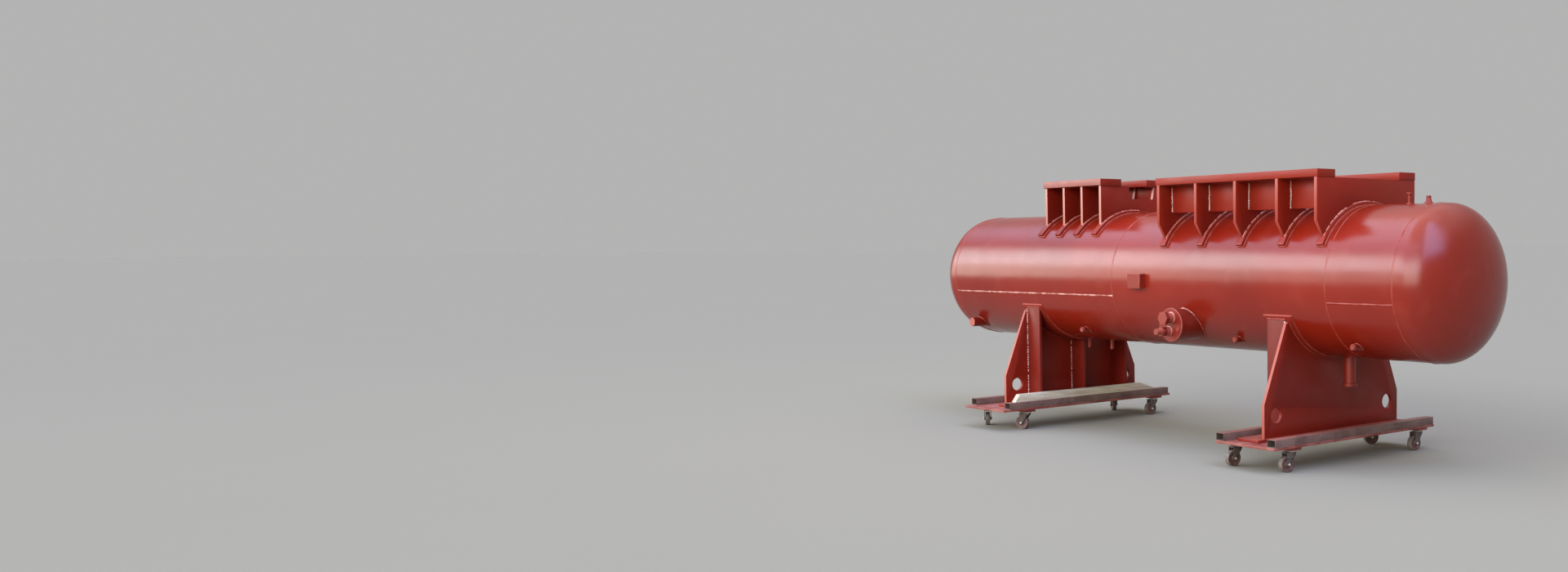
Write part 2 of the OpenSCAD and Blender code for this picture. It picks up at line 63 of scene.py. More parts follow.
def pick(obj):
    deselect()
    obj.select_set(True)
    bpy.context.view_layer.objects.active = obj
    return obj


def active():
    return bpy.context.view_layer.objects.active


def add(name, data):
    obj = bpy.data.objects.new(name, data)
    bpy.context.scene.collection.objects.link(obj)
    return obj


def join(parts):
    """Makes one object of several, under the first one's name."""
    pick(parts[0])
    for other in parts[1:]:
        other.select_set(True)
    bpy.ops.object.join()
    return parts[0]


def settle():
    """Puts an object's place, turn and scale into its mesh."""
    bpy.ops.object.transform_apply(location=True, rotation=True, scale=True)


def edit(mode="EDIT"):
    bpy.ops.object.mode_set(mode=mode)


def edit_all():
    edit()
    bpy.ops.mesh.select_all(action="SELECT")


def apply_modifier(obj, kind, **settings):
    pick(obj)
    mod = obj.modifiers.new(kind.lower(), kind)
    for key, value in settings.items():
        setattr(mod, key, value)
    bpy.ops.object.modifier_apply(modifier=mod.name)


def soften(obj, width, segments=2):
    """Rounds a piece's sharp edges, where a width is given, and smooths its curved faces."""
    if width:
        apply_modifier(obj, "BEVEL", width=width, segments=segments, limit_method="ANGLE",
                       angle_limit=SHARP_EDGE)
    pick(obj)
    bpy.ops.object.shade_smooth_by_angle(angle=SMOOTH_EDGE)


def corners(node):
    return [v.co.copy() for v in frame["nodes"][node].data.vertices]


def levels(node, axis):
    """The places along one axis where a node has corners, such as both faces of each rib."""
    found = []
    for co in corners(node):
        if not any(abs(co[axis] - f) < 2e-4 for f in found):
            found.append(co[axis])
    return sorted(found)


def within(value, lo, hi):
    return lo - NEAR <= value <= hi + NEAR


def pairs(values):
    return list(zip(values[0::2], values[1::2]))


def spans(values, gap=0.02):
    """Values grouped into runs with no gap inside them: the first and last of each run."""
    runs = []
    for v in sorted(values):
        if runs and v - runs[-1][1] < gap:
            runs[-1][1] = v
        else:
            runs.append([v, v])
    return runs


# sizes read from the frame

shell_lo, shell_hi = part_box("shell_middle")
R = (shell_hi.z - shell_lo.z) / 2
AXIS_Z = (shell_hi.z + shell_lo.z) / 2
SEAMS = [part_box("shell_left")[0].x, shell_lo.x, shell_hi.x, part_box("shell_right")[1].x]


def polar(co):
    """Degrees from the top, positive towards the rear, and the distance from the vessel's axis."""
    y, z = co.y, co.z - AXIS_Z
    return math.degrees(math.atan2(y, z)), math.hypot(y, z)


def reach(node, r):
    """How far round the vessel, in degrees from the top, a node touches the radius r."""
    return max(abs(a) for a, d in map(polar, corners(node)) if abs(d - r) < ON_RADIUS)


# materials

def colour(r, g, b):
    """An sRGB colour, 0 to 255, as the shader's linear values."""
    def lin(c):
        c /= 255
        return c / 12.92 if c <= 0.04045 else ((c + 0.055) / 1.055) ** 2.4
    return (lin(r), lin(g), lin(b), 1.0)


class Graph:
    """A material's node tree with short calls for the nodes used here."""

    def __init__(self, name):
        self.mat = bpy.data.materials.new(name)
        self.mat.use_nodes = True
        self.tree = self.mat.node_tree
        self.bsdf = self.tree.nodes["Principled BSDF"]
        self.coords = self.tree.nodes.new("ShaderNodeTexCoord").outputs["Object"]

    def link(self, a, b):
        self.tree.links.new(a, b)

    def mapped(self, scale):
        node = self.tree.nodes.new("ShaderNodeMapping")
        node.inputs["Scale"].default_value = scale
        self.link(self.coords, node.inputs["Vector"])
        return node.outputs["Vector"]

    def noise(self, scale, detail=4.0, rough=0.55, stretch=None, distortion=0.0):
        node = self.tree.nodes.new("ShaderNodeTexNoise")
        node.inputs["Scale"].default_value = scale
        node.inputs["Detail"].default_value = detail
        node.inputs["Roughness"].default_value = rough
        node.inputs["Distortion"].default_value = distortion
        self.link(self.mapped(stretch) if stretch else self.coords, node.inputs["Vector"])
        return node.outputs["Fac"]

    def ramp(self, value, low, high, out_low=0.0, out_high=1.0):
        node = self.tree.nodes.new("ShaderNodeMapRange")
        node.interpolation_type = "SMOOTHSTEP"
        limits = {"From Min": low, "From Max": high, "To Min": out_low, "To Max": out_high}
        for key, limit in limits.items():
            node.inputs[key].default_value = limit
        self.link(value, node.inputs["Value"])
        return node.outputs["Result"]

    def times(self, a, b):
        return self.maths("MULTIPLY", a, b)

    def maths(self, op, a, b):
        node = self.tree.nodes.new("ShaderNodeMath")
        node.operation = op
        for i, v in enumerate((a, b)):
            if isinstance(v, (int, float)):
                node.inputs[i].default_value = v
            else:
                self.link(v, node.inputs[i])
        return node.outputs[0]

    def mix(self, factor, a, b):
        node = self.tree.nodes.new("ShaderNodeMix")
        node.data_type = "RGBA"
        sockets = [s for s in node.inputs if s.type == "RGBA"]
        if isinstance(factor, (int, float)):
            node.inputs[0].default_value = factor
        else:
            self.link(factor, node.inputs[0])
        for s, v in zip(sockets, (a, b)):
            if isinstance(v, tuple):
                s.default_value = v
            else:
                self.link(v, s)
        return [o for o in node.outputs if o.type == "RGBA"][0]

    def facing(self, axis):
        """1 where the surface faces along +axis, 0 where it faces away."""
        geo = self.tree.nodes.new("ShaderNodeNewGeometry")
        split = self.tree.nodes.new("ShaderNodeSeparateXYZ")
        self.link(geo.outputs["Normal"], split.inputs[0])
        return split.outputs["XYZ".index(axis)]

    def bump(self, height, strength, distance):
        node = self.tree.nodes.new("ShaderNodeBump")
        node.inputs["Strength"].default_value = strength
        node.inputs["Distance"].default_value = distance
        self.link(height, node.inputs["Height"])
        self.link(node.outputs["Normal"], self.bsdf.inputs["Normal"])

    def done(self, base, rough, metallic=0.0):
        self.link(base, self.bsdf.inputs["Base Color"])
        if isinstance(rough, (int, float)):
            self.bsdf.inputs["Roughness"].default_value = rough
        else:
            self.link(rough, self.bsdf.inputs["Roughness"])
        self.bsdf.inputs["Metallic"].default_value = metallic
        return self.mat


def primer(name, base, deep, dry, gloss=(0.30, 0.46), dust=0.0, sheen=0.5, wave=0.001):
    """Sprayed red-oxide primer: slow colour drift, drier cloudy passes, a gently uneven skin."""
    g = Graph(name)
    drift = g.ramp(g.noise(0.8, 2.0), 0.3, 0.7)
    clouds = g.noise(6.0, 3.0, 0.5)
    c = g.mix(drift, base, deep)
    c = g.mix(g.ramp(clouds, 0.52, 0.80, 0.0, 0.24), c, dry)
    if dust:
        top = g.ramp(g.facing("Z"), 0.6, 0.98)
        c = g.mix(g.times(top, g.ramp(clouds, 0.3, 0.7, dust * 0.4, dust)), c, DUST)
    skin = g.maths("ADD", g.times(g.noise(24.0, 1.0), PEEL), g.times(g.noise(3.5, 2.0), wave))
    g.bump(skin, 1.0, 1.0)
    g.bsdf.inputs["Specular IOR Level"].default_value = sheen
    return g.done(c, g.ramp(clouds, 0.25, 0.75, gloss[0], gloss[1]))


PEEL = 0.00004
RED = colour(134, 31, 15)
DEEP = colour(120, 25, 11)
DRY = colour(150, 55, 38)
DUST = colour(170, 108, 96)
PLATE = {"dust": 0.4, "sheen": 0.3}
FITTING = {"gloss": (0.32, 0.46), "sheen": 0.4}
EDGE_GLOSS = (0.4, 0.6)

vessel_red = primer("vessel_primer", RED, DEEP, DRY, (0.20, 0.27), sheen=0.52, wave=0.0025)
frame_red = primer("frame_primer", colour(139, 34, 17), colour(123, 27, 14), DRY,
                   (0.36, 0.52), **PLATE)
saddle_red = primer("saddle_primer", colour(134, 32, 17), colour(118, 26, 14), DRY,
                    (0.38, 0.55), **PLATE)
# The saddle ribs: the web's paint written darker, a painted shade.
shaded_rib_red = primer("saddle_rib_primer", colour(118, 27, 14), colour(104, 22, 12),
                 colour(138, 50, 36), (0.4, 0.56), **PLATE)
plug_red = primer("plug_primer", colour(142, 54, 40), colour(130, 40, 27),
                  colour(164, 86, 71), **FITTING)
fitting_red = primer("fitting_primer", colour(130, 34, 20), colour(115, 26, 14),
                     colour(156, 74, 60), **FITTING)
# Pale pink for lit edges: a painted highlight.
pale_highlight = primer("rubbed_edges", colour(198, 142, 130), colour(184, 116, 102),
                   colour(212, 168, 156), EDGE_GLOSS)
# A paler pink for a face turned to the light: a painted highlight.
rail_face_highlight = primer("dull_edges", colour(164, 104, 96), colour(150, 86, 77),
                   colour(180, 124, 116), EDGE_GLOSS)
# Pale pink: a painted highlight on lit edges and bevels, and thin worn paint on the ends of the
# front bars.
worn_and_highlit = primer("worn_edges", colour(172, 90, 74), colour(158, 70, 54),
                   colour(190, 116, 100), EDGE_GLOSS)
# A paler red for the motor ribs' lit front faces: a painted highlight.
rib_edge_highlight = primer("dry_edges", colour(158, 58, 42), colour(146, 46, 31),
                  colour(178, 90, 74), EDGE_GLOSS)


def weld_finish(name, low, high, rough=0.42):
    """Weld beads: uneven cover on the ripples."""
    g = Graph(name)
    patch = g.noise(30.0, 4.0, 0.6)
    c = g.mix(g.ramp(patch, 0.35, 0.65), low, high)
    g.bump(g.noise(260.0, 2.0), 0.25, 0.001)
    return g.done(c, rough)


def tube_finish():
    """Dull mill-scale tube with red overspray on top and bright scuffs."""
    g = Graph("dolly_tube_steel")
    clouds = g.noise(7.0, 5.0, 0.62)
    streak = g.noise(22.0, 4.0, 0.6, stretch=(1.0, 0.12, 1.0))
    c = g.mix(g.ramp(clouds, 0.3, 0.7), colour(92, 66, 60), colour(120, 92, 84))
    c = g.mix(g.ramp(streak, 0.56, 0.72, 0.0, 0.5), c, colour(138, 116, 108))
    top = g.ramp(g.facing("Z"), 0.2, 0.9)
    c = g.mix(g.times(top, g.ramp(clouds, 0.28, 0.62, 0.35, 0.9)), c, colour(140, 84, 74))
    c = g.mix(g.ramp(g.noise(30.0, 5.0, 0.7), 0.56, 0.68, 0.0, 0.5), c, colour(70, 50, 46))
    g.bump(g.noise(180.0, 3.0), 0.2, 0.0008)
    return g.done(c, g.ramp(streak, 0.3, 0.7, 0.62, 0.42))


def deck_finish():
    """Deck plate under heavy pinkish overspray and workshop dust."""
    g = Graph("deck_plate")
    clouds = g.noise(5.0, 5.0, 0.65)
    grit = g.noise(80.0, 3.0, 0.6)
    c = g.mix(g.ramp(clouds, 0.36, 0.62), colour(122, 50, 42), colour(154, 92, 84))
    c = g.mix(g.ramp(g.noise(18.0, 5.0, 0.7), 0.52, 0.66, 0.0, 0.55), c, colour(96, 58, 50))
    c = g.mix(g.ramp(grit, 0.58, 0.72, 0.0, 0.4), c, colour(84, 52, 46))
    g.bump(grit, 0.25, 0.0008)
    return g.done(c, g.ramp(clouds, 0.3, 0.7, 0.5, 0.72))


def zinc_finish():
    """Bright zinc with grey haze."""
    g = Graph("zinc_plate")
    haze = g.noise(40.0, 4.0, 0.6)
    c = g.mix(g.ramp(haze, 0.45, 0.75), colour(214, 214, 212), colour(150, 142, 134))
    g.bump(haze, 0.1, 0.0005)
    return g.done(c, g.ramp(haze, 0.3, 0.7, 0.26, 0.46), 0.45)


def fork_finish():
    """Pressed fork: zinc gone dark with grease, dust and rust."""
    g = Graph("dirty_fork_steel")
    grime = g.noise(60.0, 5.0, 0.65)
    rust = g.noise(24.0, 5.0, 0.6)
    c = g.mix(g.ramp(grime, 0.35, 0.65), colour(66, 56, 54), colour(112, 100, 95))
    c = g.mix(g.ramp(rust, 0.52, 0.7, 0.0, 0.7), c, colour(104, 66, 52))
    g.bump(grime, 0.25, 0.0006)
    return g.done(c, g.ramp(grime, 0.3, 0.7, 0.36, 0.6), 0.4)


def wheel_finish(name, low, high, dust):
    """Moulded wheel, dusty and worn."""
    g = Graph(name)
    grime = g.noise(45.0, 5.0, 0.6)
    c = g.mix(g.ramp(grime, 0.35, 0.68), low, high)
    c = g.mix(g.ramp(g.noise(130.0, 3.0), 0.56, 0.7, 0.0, 0.6), c, dust)
    g.bump(grime, 0.3, 0.0008)
    return g.done(c, 0.55)


def tube_shade_finish():
    """Painted shade: the dark inside of an open tube."""
    g = Graph("tube_inside")
    return g.done(g.mix(g.noise(9.0, 4.0), colour(58, 45, 40), colour(84, 66, 58)), 0.8)


def timber_finish():
    """Bare sawn softwood: long grain, dark latewood lines, dust and red spots."""
    g = Graph("bare_timber")
    grain = g.noise(90.0, 5.0, 0.6, stretch=(1.0, 0.05, 1.0), distortion=0.6)
    broad = g.noise(4.0, 3.0, 0.5, stretch=(1.0, 0.3, 1.0))
    c = g.mix(g.ramp(grain, 0.38, 0.66), colour(200, 190, 172), colour(172, 154, 130))
    c = g.mix(g.ramp(broad, 0.45, 0.75, 0.0, 0.5), c, colour(184, 168, 152))
    c = g.mix(g.ramp(g.noise(16.0, 4.0), 0.66, 0.74, 0.0, 0.4), c, colour(160, 112, 98))
    g.bump(grain, 0.35, 0.0012)
    return g.done(c, 0.72)


weld_mat = weld_finish("weld_beads", colour(138, 38, 22), colour(160, 64, 48), 0.5)
pale_weld = weld_finish("bare_weld", colour(196, 148, 134), colour(226, 196, 184), 0.5)
pink_weld = weld_finish("thin_covered_weld", colour(176, 88, 74), colour(214, 150, 136), 0.46)
patchy_weld = weld_finish("patchy_seam", colour(140, 42, 27), colour(206, 144, 130), 0.4)
seam_mat = weld_finish("seam_beads", colour(133, 31, 16), colour(152, 56, 40), 0.34)
tube_mat = tube_finish()
deck_mat = deck_finish()
zinc_mat = zinc_finish()
fork_mat = fork_finish()
core_mat = wheel_finish("wheel_core", colour(84, 55, 47), colour(108, 77, 68),
                        colour(126, 102, 93))
tread_mat = wheel_finish("wheel_tread", colour(90, 80, 75), colour(124, 112, 105),
                         colour(84, 64, 57))
tube_shade = tube_shade_finish()
timber_mat = timber_finish()


# pieces

def dress(obj, mat, body=VESSEL, stands_for=()):
    """Gives a finished piece its material and its body, and hides the CAD parts it stands for."""
    obj.data.materials.clear()
    obj.data.materials.append(mat)
    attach(obj, body)
    if stands_for:
        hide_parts(*stands_for)
    return obj


def second_finish(obj, mat, test):
    """Another material on the faces whose middle and normal pass the test."""
    obj.data.materials.append(mat)
    index = len(obj.data.materials) - 1
    for face in obj.data.polygons:
        if test(face.center, face.normal):
            face.material_index = index


def pale_bevels(obj, mat, width):
    """Another material on the narrow faces that breaking the edges has left, here a paler primer: a
    painted highlight on the bevels.
    """
    obj.data.materials.append(mat)
    for face in obj.data.polygons:
        points = [obj.data.vertices[i].co for i in face.vertices]
        edges = [(a - b).length for a, b in zip(points, points[1:] + points[:1])]
        if face.area < 0.5 * max(edges) * width * 1.5 and min(edges) < width:
            face.material_index = len(obj.data.materials) - 1


def copy_of(node, name):
    """A welded-up copy of a CAD node, its flat faces whole, ready for edge work."""
    obj = pick(add(name, frame["nodes"][node].data.copy()))
    bpy.ops.mesh.customdata_custom_splitnormals_clear()
    edit_all()
    bpy.ops.mesh.remove_doubles(threshold=2e-5)
    bpy.ops.mesh.dissolve_limited(angle_limit=math.radians(0.5))
    edit("OBJECT")
    return obj


PLATE_EDGE, RAIL_EDGE, THIN_EDGE, FINE_EDGE = 0.0025, 0.003, 0.002, 0.001
DECK_EDGE, WHEEL_EDGE, PALE_BEVEL = 0.0015, 0.004, 0.006


def plated(node, mat, width=PLATE_EDGE, segments=2, body=VESSEL):
    """A CAD piece with its edges broken, or left sharp at width 0."""
    obj = copy_of(node, node + "_piece")
    soften(obj, width, segments)
    return dress(obj, mat, body, (node,))


def wobble(i, k):
    """A repeatable uneven number from -1 to 1."""
    v = math.sin(i * 12.9898 + k * 78.233) * 43758.5453
    return 2 * (v - math.floor(v)) - 1


def bead(name, runs, radius, mat, pitch=0.009, ripple=0.2, stray=0.0):
    """Weld beads along runs of points: each run is a list of points and a closed flag."""
    data = bpy.data.curves.new(name, "CURVE")
    data.dimensions = "3D"
    data.bevel_depth = radius
    data.bevel_resolution = 2
    data.use_fill_caps = True
    for n, (points, closed) in enumerate(runs):
        way = resample(points, pitch, closed)
        if len(way) < 2:
            continue
        spline = data.splines.new("POLY")
        spline.points.add(len(way) - 1)
        spline.use_cyclic_u = closed
        for i, (p, point) in enumerate(zip(way, spline.points)):
            off = Vector([wobble(i, n + k) for k in (0.1, 0.4, 0.7)]) * stray
            point.co = (*(p + off), 1.0)
            wave = ripple * (0.5 if i % 2 else -0.5) + ripple * wobble(i, n + 0.9) * 0.6
            point.radius = 1 + wave + 0.08 * math.sin(i * 0.61 + 1.7 * math.sin(i * 0.13))
    pick(add(name, data))
    bpy.ops.object.convert(target="MESH")
    bpy.ops.object.shade_smooth()
    return dress(active(), mat)


def resample(points, pitch, closed):
    """Points spaced evenly along a run."""
    pts = [Vector(p) for p in points]
    if closed:
        pts.append(pts[0])
    total = sum((b - a).length for a, b in zip(pts, pts[1:]))
    count = max(2, int(total / pitch))
    step = total / count
    out, want, gone = [], 0.0, 0.0
    for a, b in zip(pts, pts[1:]):
        length = (b - a).length
        while length and want <= gone + length + 1e-9 and len(out) <= count:
            out.append(a.lerp(b, (want - gone) / length))
            want += step
        gone += length
    return out[:count] if closed else out


def arc(x, r, start, end, count=64):
    """Points round the vessel's axis at x; degrees from the top, positive towards the rear."""
    pts = []
    for i in range(count + 1):
        a = math.radians(start + (end - start) * i / count)
        pts.append((x, r * math.sin(a), AXIS_Z + r * math.cos(a)))
    return pts


def line(a, b):
    return [a, b], False


def stitches(a, b, dash=0.013, gap=0.007, skip=11):
    """Short runs from a to b, with a longer gap now and then."""
    a, b = Vector(a), Vector(b)
    length = (b - a).length
    way, runs, i = 0.0, [], 0
    while way < length:
        stop = min(length, way + dash * (1 + 0.4 * wobble(i, a.x + a.y)))
        if i % skip != skip - 1 and stop - way > 0.006:
            runs.append(line(a.lerp(b, way / length), a.lerp(b, stop / length)))
        way = stop + gap * (1 + 0.5 * wobble(i, b.z + a.y))
        i += 1
    return runs


def arc_stitches(x, r, start, end, dash=0.05, gap=0.009, skip=7):
    """Short runs round the vessel's axis at x."""
    runs, way, i = [], start, 0
    while way < end:
        stop = min(end, way + math.degrees(dash / r) * (1 + 0.5 * wobble(i, x)))
        if i % skip != skip - 1:
            runs.append((arc(x, r, way, stop, 8), False))
        way = stop + math.degrees(gap / r) * (1 + 0.6 * wobble(i, x + 0.3))
        i += 1
    return runs


def along(x0, x1, degrees, r):
    a = math.radians(degrees)
    y, z = r * math.sin(a), AXIS_Z + r * math.cos(a)
    return line((x0, y, z), (x1, y, z))


def root_rings(node):
    """Where each nozzle of a node meets the shell, as closed runs of points."""
    on_shell = [co for co in corners(node) if abs(polar(co)[1] - R) < 5e-4]
    rings = []
    for lo, hi in spans([co.x for co in on_shell], 0.012):
        mine = [co for co in on_shell if within(co.x, lo, hi)]
        flat = [(co, co.x - (lo + hi) / 2, math.radians(polar(co)[0] % 360) * R) for co in mine]
        if max(f[2] for f in flat) - min(f[2] for f in flat) > R * math.pi:
            flat = [(co, x, math.radians(polar(co)[0]) * R) for co, x, s in flat]
        mid = (min(f[2] for f in flat) + max(f[2] for f in flat)) / 2
        out = max(abs(x) for co, x, s in flat)
        tall = max(abs(s - mid) for co, x, s in flat)
        rim = [(math.atan2((s - mid) / tall, x / out), co) for co, x, s in flat
               if math.hypot(x / out, (s - mid) / tall) > 0.94]
        rim.sort(key=lambda f: f[0])
        ring = []
        for angle, co in rim:
            if not ring or (co - ring[-1]).length > 1e-3:
                ring.append(co)
        rings.append((ring, True))
    return rings


# the vessel: rolled courses, dished heads, butt seams

HEAD_WALL = 0.012
SEAM_R, SEAM_SINK, SEAM_PITCH = 0.009, 0.0062, 0.014
LONG_SEAM = -104


def dished_head(node, side):
    """Half a sphere drawn flat to the head's depth, with its straight flange."""
    lo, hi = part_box(node)
    weld = lo.x if side > 0 else hi.x
    tip = hi.x if side > 0 else lo.x
    flange = max(abs(co.x - weld) for co in corners(node) if polar(co)[1] > R - 2e-4)
    depth = abs(tip - weld) - flange
    deselect()
    bpy.ops.mesh.primitive_uv_sphere_add(segments=192, ring_count=96, radius=R,
                                         location=(0, 0, 0), rotation=(0, math.radians(90), 0))
    obj = active()
    obj.name = node + "_piece"
    settle()
    edit_all()
    bpy.ops.mesh.bisect(plane_co=(0, 0, 0), plane_no=(side, 0, 0), clear_inner=True)
    edit("OBJECT")
    for v in obj.data.vertices:
        v.co.x *= depth / R
    edit()
    bpy.ops.mesh.select_all(action="DESELECT")
    bpy.ops.mesh.select_non_manifold()
    bpy.ops.mesh.extrude_edges_move(TRANSFORM_OT_translate={"value": (-side * flange, 0, 0)})
    edit("OBJECT")
    for v in obj.data.vertices:
        v.co.x += weld + side * flange
        v.co.z += AXIS_Z
    apply_modifier(obj, "SOLIDIFY", thickness=HEAD_WALL, offset=-1.0)
    edit_all()
    bpy.ops.mesh.remove_doubles(threshold=1e-6)
    bpy.ops.mesh.normals_make_consistent(inside=False)
    edit("OBJECT")
    soften(obj, 0.0)
    return dress(obj, vessel_red, VESSEL, (node,))


for part in ("shell_left", "shell_middle", "shell_right"):
    plated(part, vessel_red, 0.0)
dished_head("head_left", -1)
dished_head("head_right", 1)

bead("girth_seams", [(arc(x, R - SEAM_SINK, 0, 360, 240)[:-1], True) for x in SEAMS],
     SEAM_R, seam_mat, SEAM_PITCH, ripple=0.025)
for name, ends, finish in (("left_long_seam", SEAMS[0:2], patchy_weld),
                           ("right_long_seam", SEAMS[2:4], seam_mat)):
    bead(name, [along(*ends, LONG_SEAM, R - SEAM_SINK)],
         SEAM_R, finish, SEAM_PITCH, ripple=0.03)

# support frames: rails, ribs, webs and pads, then their welds

FRAME_BEAD, RAIL_BEAD, WEB_BEAD = 0.007, 0.006, 0.005
RIB_STITCH, WEB_STITCH = 0.0055, 0.0048

for part in ("motor_front_rail", "motor_rear_rail", "compressor_front_rail", "compressor_rear_rail"):
    rail = plated(part, frame_red, RAIL_EDGE)
    if part == "compressor_front_rail":
        # its front face gets the paler primer: a painted highlight
        second_finish(rail, rail_face_highlight, lambda at, n: n.y < -0.9)
for part in ("motor_front_webs", "motor_rear_webs", "compressor_webs"):
    plated(part, frame_red, THIN_EDGE)
for part in ("motor_pads", "compressor_pads"):
    plated(part, frame_red, RAIL_EDGE)
# the ribs' front faces get a paler primer: a painted highlight
for part, finish in (("motor_ribs", rib_edge_highlight), ("compressor_ribs", pale_highlight)):
    ribs = plated(part, frame_red, THIN_EDGE)
    second_finish(ribs, finish, lambda at, n: n.y < -0.8 or (n.y < -0.3 and n.z > 0.1))

PAD_R = max(polar(co)[1] for co in corners("motor_pads"))
for name in ("motor", "compressor"):
    heel = reach(name + "_ribs", PAD_R)
    lip = reach(name + "_pads", R)
    on_pads, beside, on_shell = [], [], []
    for x0, x1 in pairs(levels(name + "_ribs", 0)):
        on_pads.append((arc(x0, PAD_R, -heel, heel), False))
        beside += arc_stitches(x1, PAD_R, -heel, heel)
    for x0, x1 in pairs(levels(name + "_pads", 0)):
        on_shell.append((arc(x0, R, -lip, lip) + arc(x1, R, lip, -lip), True))
    bead(name + "_rib_welds", on_pads, FRAME_BEAD, weld_mat)
    bead(name + "_rib_stitches", beside, RIB_STITCH, pink_weld, stray=0.0008)
    bead(name + "_pad_welds", on_shell, FRAME_BEAD, weld_mat)

    under_rails = []
    for rail in ("front", "rear"):
        lo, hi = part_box(f"{name}_{rail}_rail")
        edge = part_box(name + "_ribs")
        y0, y1 = max(lo.y, edge[0].y) + 0.01, min(hi.y, edge[1].y) - 0.01
        for x0, x1 in pairs(levels(name + "_ribs", 0)):
            under_rails += [line((x, y0, lo.z), (x, y1, lo.z)) for x in (x0, x1)
                            if lo.x + 0.004 < x < hi.x - 0.004]
    bead(name + "_rail_welds", under_rails, RAIL_BEAD, weld_mat)

upright, upper = [], []
for node in ("motor_front_webs", "motor_rear_webs"):
    lo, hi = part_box(node)
    face = lo.y if node == "motor_front_webs" else hi.y
    for x0, x1 in pairs(levels(node, 0)):
        upright.append(line((x0 + 0.002, face, lo.z + 0.004), (x0 + 0.002, face, hi.z - 0.012)))
        upper.append(line((x0, face, hi.z), (x1, face, hi.z)))
        upper.append(line((x1, face, lo.z + 0.004), (x1, face, hi.z)))
bead("web_stitch_welds", upright, WEB_STITCH, pale_weld,
     pitch=0.008, ripple=0.5, stray=0.0025)
bead("web_welds", upper, WEB_BEAD, weld_mat)

# saddles; the front-facing edges of the webs are paler, a painted highlight, but not the rims of the
# lifting holes

SADDLE_BEAD = 0.005
HOLES_TOP, HOLES_OUT = 0.405, 0.64
MIDDLE_RIB = [-0.012, 0.012]


def highlit_web_edge(at, n):
    return n.y < -0.4 and not (at.z < HOLES_TOP and abs(at.y) < HOLES_OUT)


for side in ("left", "right"):
    web = plated(side + "_saddle_web", saddle_red)
    # the web's front-facing edges get the pale primer: a painted highlight
    second_finish(web, worn_and_highlit, highlit_web_edge)
    wear = plated(side + "_wear_plate", saddle_red)
    # the upward-facing front end of the wear plate is paler: a painted highlight
    second_finish(wear, worn_and_highlit, lambda at, n: n.z > 0.3 and at.y < 0)
    # the ribs get the darker primer: painted shade
    plated(side + "_saddle_ribs", shaded_rib_red)
    plated(side + "_base_plate", saddle_red)

    web_lo, web_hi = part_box(side + "_saddle_web")
    rib_lo, rib_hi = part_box(side + "_saddle_ribs")
    wear_lo, wear_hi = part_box(side + "_wear_plate")
    wear_r = max(polar(co)[1] for co in corners(side + "_wear_plate"))
    hold = min(abs(a) for a, d in map(polar, corners(side + "_saddle_web"))
               if abs(d - wear_r) < ON_RADIUS)
    wrap = min(abs(a) for a, d in map(polar, corners(side + "_wear_plate"))
               if abs(d - R) < ON_RADIUS)
    inner = web_hi.x if side == "left" else web_lo.x
    beads, stitched = [], []
    for x in (web_lo.x, web_hi.x):
        beads.append((arc(x, wear_r, hold + 1, 360 - hold - 1), False))
        beads.append(line((x, web_lo.y + 0.01, web_lo.z), (x, web_hi.y - 0.01, web_lo.z)))
    beads.append((arc(wear_lo.x, R, wrap, 360 - wrap) + arc(wear_hi.x, R, 360 - wrap, wrap), True))
    sides = levels(side + "_saddle_ribs", 1)
    for y in sides[:2] + MIDDLE_RIB + sides[-2:]:
        top = AXIS_Z - math.sqrt(wear_r ** 2 - y ** 2)
        stitched += stitches((inner, y, rib_lo.z + 0.01), (inner, y, top - 0.008))
        beads.append(line((rib_lo.x, y, top), (rib_hi.x, y, top)))
        beads.append(line((rib_lo.x, y, rib_lo.z), (rib_hi.x, y, rib_lo.z)))
    bead(side + "_saddle_welds", beads, SADDLE_BEAD, weld_mat)
    bead(side + "_saddle_stitches", stitched, SADDLE_BEAD, pale_weld,
         pitch=0.006, ripple=0.4, stray=0.001)

# dollies

TUBE_BEAD = 0.0035
TUBE_DASH, TUBE_GAP, NEVER = 0.06, 0.16, 99
TOP_PLATE = 0.0175


def square_tube(lo, hi, wall):
    """A bar with both ends inset and bridged through, so that it is open from end to end."""
    deselect()
    bpy.ops.mesh.primitive_cube_add(size=1, location=(lo + hi) / 2)
    obj = active()
    obj.scale = hi - lo
    settle()
    edit()
    bpy.ops.mesh.select_mode(type="FACE")
    bpy.ops.mesh.select_all(action="DESELECT")
    edit("OBJECT")
    for face in obj.data.polygons:
        face.select = abs(face.normal.y) > 0.9
    edit()
    bpy.ops.mesh.inset(thickness=wall)
    bpy.ops.mesh.bridge_edge_loops()
    bpy.ops.mesh.select_all(action="SELECT")
    bpy.ops.mesh.normals_make_consistent(inside=False)
    edit("OBJECT")
    return obj


